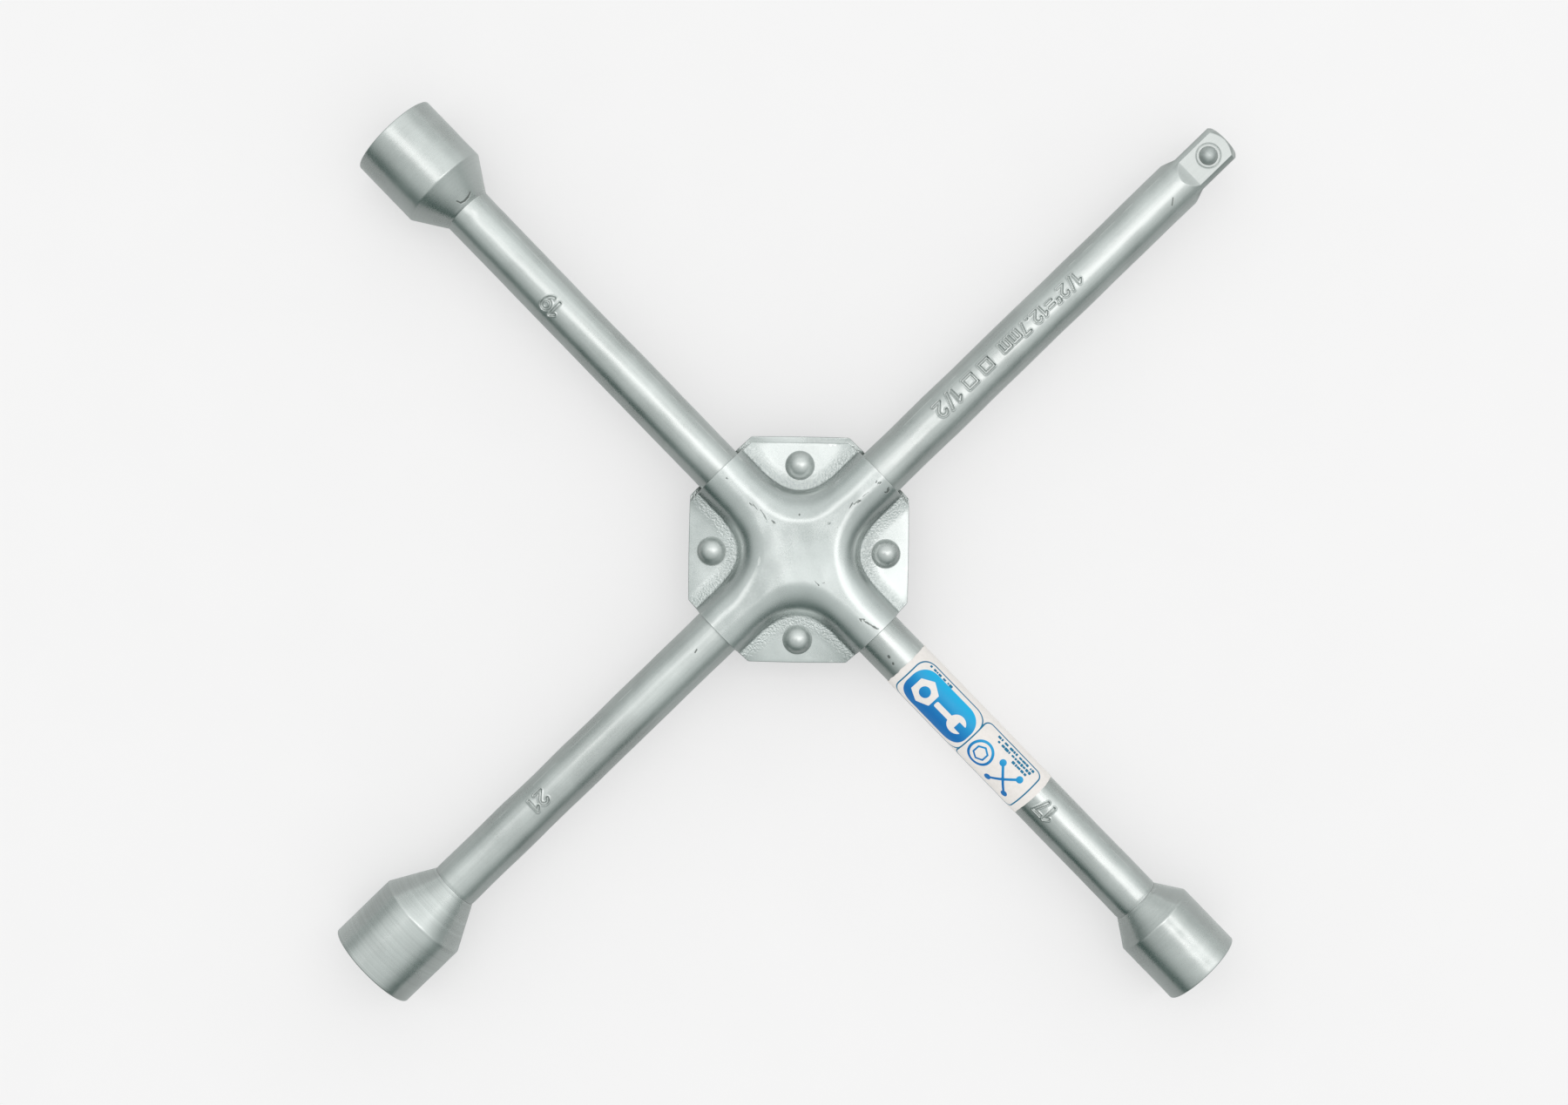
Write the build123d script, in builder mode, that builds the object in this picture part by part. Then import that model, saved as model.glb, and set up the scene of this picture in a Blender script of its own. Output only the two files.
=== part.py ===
from build123d import *
from math import cos, radians, sqrt, tan
import os

# A four-way lug wrench. Two round bars cross at right angles inside a riveted hub of two pressed half
# shells. Three arms end in hexagon sockets and the fourth in a square drive with a sprung ball.
#
# Frame: millimetres, +Z up, origin where the two bar axes cross. The square drive points along +X, the
# 21 mm socket along -X, the 19 mm socket along +Y and the 17 mm socket along -Y. The ball faces +Z.

# ---- driving dimensions ----

bar_d = 16.0
bar_r = bar_d / 2

# One entry for each socket, by nominal size: the way its arm points, its body diameter, and how far its
# welded end, its shoulder and its rim are from the hub centre.
sockets = {
    17: {"turn": -90, "body_d": 26.8, "weld": 152.3, "shoulder": 160.5, "rim": 182.0},
    19: {"turn": 90, "body_d": 29.5, "weld": 149.6, "shoulder": 160.0, "rim": 182.9},
    21: {"turn": 180, "body_d": 31.0, "weld": 150.7, "shoulder": 164.4, "rim": 186.6},
}
hexagon_play = 0.2
hexagon_depth = 17.0
stud_bore_share = 0.4
stud_bore_depth = 4.0
rim_edge_r = 0.8
lead_in = 0.7
drill_point_angle = 118.0

# Where the bars cross, each is forged to a pad of half the bar's height, and the pads are welded.
pad_r = 11.5
pad_height = 7.7
pad_bevel = 2.6
lap_half_length = 12.5
lap_slope = 4.0

# Square drive, milled on the bar's end.
square = 12.7
ramp_start = 165.8
ramp_end = 169.9
drive_tip = 185.5
tip_bevel = 2.1

# Ball detent in the drive's upper flat.
ball_d = 6.35
ball_r = ball_d / 2
ball_x = 178.0
ball_z = 5.1
ball_play = 0.04
pocket_r = 3.25
pocket_floor = -4.5
stake_outer_r = 4.0
stake_inner_r = 3.6
stake_depth = 0.25
wire_d = 0.6
coil_r = 2.2
coil_turns = 6
touch_gap = 0.02

# Hub half shells, pressed from sheet.
sheet = 2.0
mouth_span = 70.6
flange_span = 68.8
bar_play = 0.05
dome_corner_r = 15.6
dome_edge_r = 9.5
flange_fillet_r = 1.2
lower_blank_slip = 1.4

# Rivets, midway between the arms.
rivet_offset = 19.3
rivet_shank_r = 2.75
rivet_hole_r = 2.8
rivet_head_r = 4.65
rivet_head_height = 3.4

# Printed film round the 17 mm arm. Its ends don't quite meet underneath.
film_start = 48.4
film_end = 105.6
film_gap = 0.03
film_thickness = 0.12
film_slit = 3.0


def arm_direction(turn):
    """The way an arm points, turned about Z from +X by so many degrees."""
    return Vector(1, 0, 0).rotate(Axis.Z, turn)


def arm_axis(turn):
    return Axis((0, 0, 0), arm_direction(turn))


def arm_plane(turn, roll=0.0):
    """A plane through an arm's axis: local x runs outward, and local y runs up before the roll."""
    outward = arm_direction(turn)
    normal = outward.cross(Vector(0, 0, 1)).rotate(arm_axis(turn), roll)
    return Plane(origin=(0, 0, 0), x_dir=outward, z_dir=normal)


def cross_plane(turn, distance):
    """A plane square to an arm, facing outward, with its local y up."""
    outward = arm_direction(turn)
    return Plane(origin=outward * distance, x_dir=Vector(0, 0, 1).cross(outward), z_dir=outward)


os.makedirs("parts", exist_ok=True)

# ---- sockets: turned bodies with a hexagon recess and a drilled bore behind it for the stud ----

for size, place in sockets.items():
    turn = place["turn"]
    body_r = place["body_d"] / 2
    rim = place["rim"]
    hexagon_r = (size + hexagon_play) / 2
    corner_r = hexagon_r / cos(radians(30))
    recess_floor = rim - hexagon_depth
    bore_r = size * stud_bore_share
    bore_end = recess_floor - stud_bore_depth
    bore_point = bore_end - bore_r / tan(radians(drill_point_angle / 2))
    mouth_r = corner_r + lead_in

    with BuildPart() as socket:
        with BuildSketch(arm_plane(turn)):
            with BuildLine():
                Polyline(
                    (place["weld"], 0),
                    (place["weld"], bar_r),
                    (place["shoulder"], body_r),
                    (rim, body_r),
                    (rim, 0),
                    close=True,
                )
            make_face()
        revolve(axis=arm_axis(turn))
        fillet(socket.faces().sort_by(arm_axis(turn))[-1].edges(), rim_edge_r)
        with BuildSketch(cross_plane(turn, rim)):
            RegularPolygon(hexagon_r, 6, major_radius=False, rotation=30)
        extrude(amount=-hexagon_depth, mode=Mode.SUBTRACT)
        with BuildSketch(arm_plane(turn)):
            with BuildLine():
                Polyline(
                    (rim, 0),
                    (rim, mouth_r),
                    (rim - mouth_r + hexagon_r, hexagon_r),
                    (rim - mouth_r + hexagon_r, 0),
                    close=True,
                )
            make_face()
            with BuildLine():
                Polyline(
                    (recess_floor, 0),
                    (recess_floor, bore_r),
                    (bore_end, bore_r),
                    (bore_point, 0),
                    close=True,
                )
            make_face()
        revolve(axis=arm_axis(turn), mode=Mode.SUBTRACT)

    socket.part.label = f"socket_{size}"
    export_step(socket.part, f"parts/socket_{size}.step")

# ---- bar between the 17 mm and 19 mm sockets: its pad lies below the crossing ----

with BuildPart() as bar_17_19:
    with BuildSketch(cross_plane(sockets[19]["turn"], -sockets[17]["weld"])):
        Circle(bar_r)
    extrude(amount=sockets[17]["weld"] + sockets[19]["weld"])
    with BuildSketch(arm_plane(sockets[19]["turn"])):
        with BuildLine():
            Polyline(
                (-lap_half_length, 0),
                (-lap_half_length - lap_slope, bar_d),
                (lap_half_length + lap_slope, bar_d),
                (lap_half_length, 0),
                close=True,
            )
        make_face()
    extrude(amount=bar_d, both=True, mode=Mode.SUBTRACT)
    with BuildSketch(Plane.XZ):
        with BuildLine():
            Polyline(
                (0, 0),
                (pad_r, 0),
                (pad_r, -pad_height + pad_bevel),
                (pad_r - pad_bevel, -pad_height),
                (0, -pad_height),
                close=True,
            )
        make_face()
    revolve(axis=Axis.Z)

bar_17_19.part.label = "bar_17_19"
export_step(bar_17_19.part, "parts/bar_17_19.step")

# ---- bar from the 21 mm socket to the square drive: its pad lies above the crossing ----

with BuildPart() as bar_21_drive:
    with BuildSketch(cross_plane(0, -sockets[21]["weld"])):
        Circle(bar_r)
    extrude(amount=sockets[21]["weld"] + drive_tip)
    chamfer(bar_21_drive.faces().sort_by(Axis.X)[-1].edges(), tip_bevel)
    with BuildSketch(Plane.XZ):
        with BuildLine():
            Polyline(
                (-lap_half_length, 0),
                (-lap_half_length - lap_slope, -bar_d),
                (lap_half_length + lap_slope, -bar_d),
                (lap_half_length, 0),
                close=True,
            )
        make_face()
    extrude(amount=bar_d, both=True, mode=Mode.SUBTRACT)
    with BuildSketch(Plane.XZ):
        with BuildLine():
            Polyline(
                (0, 0),
                (pad_r, 0),
                (pad_r, pad_height - pad_bevel),
                (pad_r - pad_bevel, pad_height),
                (0, pad_height),
                close=True,
            )
        make_face()
    revolve(axis=Axis.Z)

    # The four flats. Each cutter runs down a ramp and then along the flat.
    ramp_run = ramp_end - ramp_start
    ramp_drop = bar_r - square / 2
    for roll in range(0, 360, 90):
        with BuildSketch(arm_plane(0, roll)):
            with BuildLine():
                Polyline(
                    (ramp_start - ramp_run, bar_r + ramp_drop),
                    (ramp_end, square / 2),
                    (drive_tip + ramp_run, square / 2),
                    (drive_tip + ramp_run, bar_r + ramp_drop),
                    close=True,
                )
            make_face()
        extrude(amount=bar_d, both=True, mode=Mode.SUBTRACT)

    # The ball's pocket: a blind bore with a round-topped mouth that keeps the ball in, and a staked ring.
    with BuildSketch(Plane.XY.offset(pocket_floor)):
        with Locations((ball_x, 0)):
            Circle(pocket_r)
    extrude(amount=ball_z - pocket_floor, mode=Mode.SUBTRACT)
    with Locations((ball_x, 0, ball_z)):
        Sphere(ball_r + ball_play, mode=Mode.SUBTRACT)
    with BuildSketch(Plane.XY.offset(square / 2)):
        with Locations((ball_x, 0)):
            Circle(stake_outer_r)
            Circle(stake_inner_r, mode=Mode.SUBTRACT)
    extrude(amount=-stake_depth, mode=Mode.SUBTRACT)

bar_21_drive.part.label = "bar_21_drive"
export_step(bar_21_drive.part, "parts/bar_21_drive.step")

# ---- ball detent ----

with BuildPart() as detent_ball:
    with Locations((ball_x, 0, ball_z)):
        Sphere(ball_r)

detent_ball.part.label = "detent_ball"
export_step(detent_ball.part, "parts/detent_ball.step")

# The spring stands on the pocket's floor and ends just short of the ball's underside.
spring_bottom = pocket_floor + wire_d / 2 + touch_gap
spring_top = ball_z - sqrt((ball_r + wire_d / 2 + touch_gap) ** 2 - coil_r**2)
spring_height = spring_top - spring_bottom

with BuildPart() as detent_spring:
    with BuildLine() as coil:
        Helix(spring_height / coil_turns, spring_height, coil_r, center=(ball_x, 0, spring_bottom))
    with BuildSketch(Plane(origin=coil.line @ 0, z_dir=coil.line % 0)):
        Circle(wire_d / 2)
    sweep(path=coil.line)

detent_spring.part.label = "detent_spring"
export_step(detent_spring.part, "parts/detent_spring.step")


# ---- hub half shells ----


def cross_dome(half_width, corner_r, height, edge_r, span):
    """A cross-shaped block with round inner corners and its top edges rolled over, open at the arms."""
    with BuildPart() as dome:
        with BuildSketch() as cross:
            Rectangle(span, 2 * half_width)
            Rectangle(2 * half_width, span)
            inner_corners = cross.vertices().sort_by_distance((0, 0))[:4]
            fillet(inner_corners, corner_r)
        extrude(amount=height)
        crest = dome.faces().sort_by(Axis.Z)[-1].edges()
        open_ends = crest.sort_by_distance((0, 0, height))[-4:]
        fillet(crest - open_ends, edge_r)
    return dome.part


def half_shell(slip):
    """The upper half shell. Slip is how far its blank lies off the dome, towards +X and +Y."""
    cavity_half = bar_r + bar_play
    dome_half = cavity_half + sheet
    long_span = mouth_span + 4 * sheet
    outer_dome = cross_dome(dome_half, dome_corner_r, dome_half, dome_edge_r, long_span)
    cavity = cross_dome(
        cavity_half, dome_corner_r + sheet, cavity_half, dome_edge_r - sheet, long_span
    )
    with BuildPart() as shell:
        add(outer_dome)
        with BuildSketch() as blank:
            with Locations((slip, slip)):
                Rectangle(mouth_span, mouth_span)
                Rectangle(flange_span, flange_span, rotation=45, mode=Mode.INTERSECT)
        extrude(amount=2 * dome_half, mode=Mode.INTERSECT)
        add(extrude(blank.sketch, amount=sheet, mode=Mode.PRIVATE))
        bends = shell.edges().filter_by(GeomType.CIRCLE).group_by(Axis.Z)[0]
        fillet(bends, flange_fillet_r)
        add(cavity, mode=Mode.SUBTRACT)
        with BuildSketch():
            with GridLocations(2 * rivet_offset, 2 * rivet_offset, 2, 2):
                Circle(rivet_hole_r)
        extrude(amount=sheet, mode=Mode.SUBTRACT)
    return shell.part


with BuildPart() as hub_plate_top:
    add(half_shell(0))

hub_plate_top.part.label = "hub_plate_top"
export_step(hub_plate_top.part, "parts/hub_plate_top.step")

with BuildPart() as hub_plate_bottom:
    add(half_shell(lower_blank_slip))
    mirror(about=Plane.XY, mode=Mode.REPLACE)

hub_plate_bottom.part.label = "hub_plate_bottom"
export_step(hub_plate_bottom.part, "parts/hub_plate_bottom.step")

# ---- rivets: a shank through both flanges with a domed head at each end ----

rivet_top = sheet + rivet_head_height
head_curve_r = (rivet_head_r**2 + rivet_head_height**2) / (2 * rivet_head_height)
rivet_places = [(1, 1), (-1, 1), (-1, -1), (1, -1)]

for number, (side_x, side_y) in enumerate(rivet_places, start=1):
    place = (side_x * rivet_offset, side_y * rivet_offset, 0)
    with BuildPart() as rivet:
        with BuildSketch(Plane(origin=place, x_dir=(1, 0, 0), z_dir=(0, -1, 0))):
            with BuildLine():
                RadiusArc((0, rivet_top), (rivet_head_r, sheet), head_curve_r)
                Polyline(
                    (rivet_head_r, sheet),
                    (rivet_shank_r, sheet),
                    (rivet_shank_r, -sheet),
                    (rivet_head_r, -sheet),
                )
                RadiusArc((rivet_head_r, -sheet), (0, -rivet_top), head_curve_r)
                Line((0, -rivet_top), (0, rivet_top))
            make_face()
        revolve(axis=Axis(place, (0, 0, 1)))

    rivet.part.label = f"rivet_{number}"
    export_step(rivet.part, f"parts/rivet_{number}.step")

# ---- printed film ----

with BuildPart() as size_label:
    with BuildSketch(Plane.XZ.offset(film_start)):
        Circle(bar_r + film_gap + film_thickness)
        Circle(bar_r + film_gap, mode=Mode.SUBTRACT)
        with Locations((0, -bar_r)):
            Rectangle(film_slit, bar_r, mode=Mode.SUBTRACT)
    extrude(amount=film_end - film_start)

size_label.part.label = "size_label"
export_step(size_label.part, "parts/size_label.step")
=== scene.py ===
import math

import bmesh
import bpy
import numpy as np
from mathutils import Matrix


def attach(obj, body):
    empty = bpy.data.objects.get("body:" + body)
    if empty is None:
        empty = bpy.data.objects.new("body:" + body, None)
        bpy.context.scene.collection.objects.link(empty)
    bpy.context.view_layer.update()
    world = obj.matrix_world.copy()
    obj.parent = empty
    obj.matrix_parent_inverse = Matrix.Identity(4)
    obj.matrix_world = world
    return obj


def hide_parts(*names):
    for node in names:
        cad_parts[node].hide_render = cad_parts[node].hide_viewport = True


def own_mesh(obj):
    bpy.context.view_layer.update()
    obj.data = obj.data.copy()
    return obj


# The looks of a four-way lug wrench. Lengths are millimetres until a mesh is made, and the frame is the
# CAD model's: the square drive points along +X, the sockets along -X, +Y and -Y, and the ball faces +Z.

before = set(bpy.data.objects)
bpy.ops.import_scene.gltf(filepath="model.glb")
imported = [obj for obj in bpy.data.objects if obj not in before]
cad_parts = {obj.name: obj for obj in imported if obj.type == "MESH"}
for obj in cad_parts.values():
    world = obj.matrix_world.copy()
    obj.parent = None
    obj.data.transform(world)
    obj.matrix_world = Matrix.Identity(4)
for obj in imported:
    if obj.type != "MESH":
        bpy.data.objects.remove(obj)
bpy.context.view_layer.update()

MM = 0.001
UP = np.array([0.0, 0.0, 1.0])
ALONG_X = np.array([1.0, 0.0, 0.0])
ALONG_Y = np.array([0.0, 1.0, 0.0])

# Sizes the parts share with the CAD model.
BAR_R = 8.0
SOCKETS = {
    17: {"axis": -ALONG_Y, "body_r": 13.4, "weld": 152.3, "shoulder": 160.5, "rim": 182.0},
    19: {"axis": ALONG_Y, "body_r": 14.75, "weld": 149.6, "shoulder": 160.0, "rim": 182.9},
    21: {"axis": -ALONG_X, "body_r": 15.5, "weld": 150.7, "shoulder": 164.4, "rim": 186.6},
}
HEXAGON_PLAY = 0.2
HEXAGON_DEPTH = 17.0
STUD_BORE_SHARE = 0.4
STUD_BORE_DEPTH = 4.0
PAD_R = 11.5
LAP_HALF = 12.5
DRIVE_TIP = 185.5
TIP_BEVEL = 2.1
DRIVE_HALF = 6.35
BALL_PLACE = np.array([178.0, 0.0, 5.1])
BALL_R = 3.175
POCKET_R = 3.25
POCKET_FLOOR = -4.5
HUB_CREST = 10.05
SHEET = 2.0
MOUTH = 35.3
LOWER_SLIP = 1.4
RIVET_OFFSET = 19.3
FILM = (48.4, 105.6)


# ---- shape functions ----


def ease(start, end, value):
    """0 before start and 1 after end, turning smoothly between them."""
    t = np.clip((value - start) / (end - start), 0.0, 1.0)
    return t * t * (3.0 - 2.0 * t)


def waves(points, length, seed):
    """A smooth random undulation over space, of about this wavelength and mostly between -1 and 1."""
    count = 14
    draw = np.random.default_rng(seed)
    ways = draw.normal(size=(count, 3))
    ways /= np.linalg.norm(ways, axis=1)[:, None]
    lengths = length * draw.uniform(0.7, 1.6, count)
    phases = draw.uniform(0.0, 2.0 * math.pi, count)
    total = np.zeros(points.shape[:-1])
    for way, size, phase in zip(ways, lengths, phases):
        total += np.sin(points @ way * (2.0 * math.pi / size) + phase)
    return total * math.sqrt(2.0 / count) / 1.6


def stations(*spans):
    """Ascending positions from spans of (start, end, step)."""
    places = [np.linspace(a, b, max(2, round((b - a) / step) + 1)) for a, b, step in spans]
    return np.unique(np.round(np.concatenate(places), 4))


def walk(start, legs):
    """Ascending positions from start along legs of (end, step)."""
    starts = [start] + [end for end, _ in legs]
    return stations(*[(at, end, step) for at, (end, step) in zip(starts, legs)])


def arc(cx, cy, rx, ry, start, end, count=14):
    """Points of an ellipse's arc, by angle in degrees."""
    a = np.radians(np.linspace(start, end, count))
    return np.column_stack([cx + rx * np.cos(a), cy + ry * np.sin(a)])


def round_way(angle, across):
    """Directions square to an arm, by the angle from straight up towards its side."""
    return np.cos(angle)[..., None] * UP + np.sin(angle)[..., None] * across


# Signs for the size stamps as strokes, one unit high. Each has its width and its lines.
GLYPHS = {
    "1": (0.34, [[(0.02, 0.76), (0.28, 1.0), (0.28, 0.0)]]),
    "2": (0.62, [np.vstack([arc(0.3, 0.7, 0.29, 0.3, 165, -38), [(0.0, 0.0), (0.6, 0.0)]])]),
    "7": (0.6, [[(0.0, 1.0), (0.6, 1.0), (0.22, 0.0)]]),
    "9": (0.6, [arc(0.3, 0.68, 0.29, 0.32, 0, 360, 28), arc(0.06, 0.66, 0.53, 0.66, 0, -78)]),
    "/": (0.46, [[(0.0, -0.06), (0.42, 1.06)]]),
    ".": (0.16, [[(0.06, 0.02), (0.1, 0.02)]]),
    "=": (0.6, [[(0.0, 0.72), (0.6, 0.72)], [(0.0, 0.3), (0.6, 0.3)]]),
    '"': (0.3, [[(0.04, 0.66), (0.08, 1.0)], [(0.24, 0.66), (0.28, 1.0)]]),
    "m": (0.8, [[(0.0, 0.0), (0.0, 0.78), (0.8, 0.78), (0.8, 0.0)], [(0.4, 0.78), (0.4, 0.0)]]),
    "#": (0.8, [[(0.0, 0.08), (0.8, 0.08), (0.8, 0.88), (0.0, 0.88), (0.0, 0.08)]]),
    " ": (0.2, []),
}


def text_strokes(text, height, gap):
    """A line of signs as strokes, centred on the origin."""
    strokes, x = [], 0.0
    for letter in text:
        width, lines = GLYPHS[letter]
        strokes += [np.array(line) * height + (x, 0.0) for line in lines]
        x += width * height + gap
    middle = np.array([(x - gap) / 2.0, height / 2.0])
    return [s - middle for s in strokes]


def stroke_distance(strokes, x, y):
    """How far each place is from the nearest stroke."""
    nearest = np.full(x.shape, 1e3)
    for line in strokes:
        for (ax, ay), (bx, by) in zip(line[:-1], line[1:]):
            dx, dy = bx - ax, by - ay
            t = np.clip(((x - ax) * dx + (y - ay) * dy) / max(dx * dx + dy * dy, 1e-9), 0.0, 1.0)
            nearest = np.minimum(nearest, np.hypot(x - ax - t * dx, y - ay - t * dy))
    return nearest


def plan_marks(points, marks):
    """How far each point of the upper side is from the nearest mark in plan. Each mark is (start, end,
    half width)."""
    nearest = np.full(points.shape[:-1], 2.0)
    for start, end, half in marks:
        reach = stroke_distance([np.array([start, end])], points[..., 0], points[..., 1])
        nearest = np.minimum(nearest, reach - half)
    return np.where(points[..., 2] > 0.0, nearest, 2.0)


# ---- mesh making ----


def grid_quads(rows, columns, wrap=False):
    """Quads over a grid of points. With wrap, the last column joins the first."""
    index = np.arange(rows * columns).reshape(rows, columns)
    right = np.roll(index, -1, axis=1) if wrap else index[:, 1:]
    left = index if wrap else index[:, :-1]
    corners = [left[:-1], right[:-1], right[1:], left[1:]]
    return np.stack(corners, axis=-1).reshape(-1, 4)


def distinct(points):
    """Which points are the first at their place, and which of those each point coincides with."""
    keys = np.round(points / 2e-4).astype(np.int64)
    _, first, back = np.unique(keys, axis=0, return_index=True, return_inverse=True)
    return first, back.reshape(-1)


def weld(points, quads):
    """Joins points that coincide, and turns quads with two joined corners into triangles."""
    first, back = distinct(points)
    quads = back[quads]
    repeated = quads == np.roll(quads, -1, axis=1)
    whole = quads[repeated.sum(axis=1) == 0]
    pinched = repeated.sum(axis=1) == 1
    triangles = quads[pinched][~repeated[pinched]].reshape(-1, 3)
    return points[first], whole.tolist() + triangles.tolist()


def make_mesh(name, points, faces, sharp_angle=32.0):
    """A smooth-shaded mesh object in metres, its normals facing outward and its steep edges sharp."""
    mesh = bpy.data.meshes.new(name)
    mesh.from_pydata((points * MM).tolist(), [], faces)
    work = bmesh.new()
    work.from_mesh(mesh)
    bmesh.ops.recalc_face_normals(work, faces=work.faces)
    work.to_mesh(mesh)
    work.free()
    mesh.shade_smooth()
    mesh.set_sharp_from_angle(angle=math.radians(sharp_angle))
    piece = bpy.data.objects.new(name, mesh)
    bpy.context.scene.collection.objects.link(piece)
    return piece


def store(piece, name, values):
    """Keeps one number for each point, for the material to read."""
    attribute = piece.data.attributes.new(name, "FLOAT", "POINT")
    attribute.data.foreach_set("value", np.asarray(values, np.float32).ravel())


def place_of(piece):
    """A piece's points in millimetres."""
    flat = np.zeros(len(piece.data.vertices) * 3)
    piece.data.vertices.foreach_get("co", flat)
    return flat.reshape(-1, 3) / MM


def fit(piece, body, slot, material, *nodes):
    """Puts a finished piece in the assembly in place of its CAD nodes."""
    piece.data.materials.clear()
    piece.data.materials.append(material)
    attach(piece, body)
    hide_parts(*nodes)


# ---- materials ----


class Graph:
    """A node tree with a short way to add nodes and feed them."""

    def __init__(self, tree):
        self.tree = tree
        tree.nodes.clear()

    def add(self, kind, feeds=None, **settings):
        node = self.tree.nodes.new(kind)
        for key, value in settings.items():
            setattr(node, key, value)
        for key, value in (feeds or {}).items():
            if isinstance(value, bpy.types.NodeSocket):
                self.tree.links.new(value, node.inputs[key])
            else:
                node.inputs[key].default_value = value
        return node

    def math(self, operation, a, b, clamp=False):
        node = self.add("ShaderNodeMath", {0: a, 1: b}, operation=operation, use_clamp=clamp)
        return node.outputs[0]

    def fit_range(self, value, low, high, to_low=0.0, to_high=1.0):
        feeds = {"Value": value, "From Min": low, "From Max": high, "To Min": to_low, "To Max": to_high}
        return self.add("ShaderNodeMapRange", feeds, interpolation_type="SMOOTHSTEP").outputs["Result"]

    def noise(self, vector, scale, detail, roughness=0.55, stretch=(1.0, 1.0, 1.0)):
        mapped = self.add("ShaderNodeMapping", {"Vector": vector, "Scale": stretch}).outputs[0]
        feeds = {"Vector": mapped, "Scale": scale, "Detail": detail, "Roughness": roughness}
        return self.add("ShaderNodeTexNoise", feeds).outputs["Fac"]

    def mix(self, share, a, b):
        node = self.add("ShaderNodeMix", {0: share, 6: a, 7: b}, data_type="RGBA")
        return node.outputs[2]

    def attribute(self, name):
        return self.add("ShaderNodeAttribute", attribute_name=name).outputs["Fac"]

    def plus(self, total, value, amount, clamp=False):
        """The total with so much of a value added."""
        return self.math("ADD", total, self.math("MULTIPLY", value, amount), clamp)

    def stain(self, colour, where, share, paint):
        """The colour with this share of another over it, where a value is 1."""
        return self.mix(self.math("MULTIPLY", where, share), colour, paint)

    def bump(self, height, strength, distance):
        feeds = {"Height": height, "Strength": strength, "Distance": distance}
        return self.add("ShaderNodeBump", feeds).outputs[0]

    def end(self, shader, kind="Material"):
        """Ends the tree with its output."""
        self.add(f"ShaderNodeOutput{kind}", {"Surface": shader.outputs[0]})

    def principled(self, feeds):
        self.end(self.add("ShaderNodeBsdfPrincipled", feeds))


def new_material(name):
    """A material and its empty node tree."""
    material = bpy.data.materials.new(name)
    material.use_nodes = True
    return material, Graph(material.node_tree)


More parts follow.
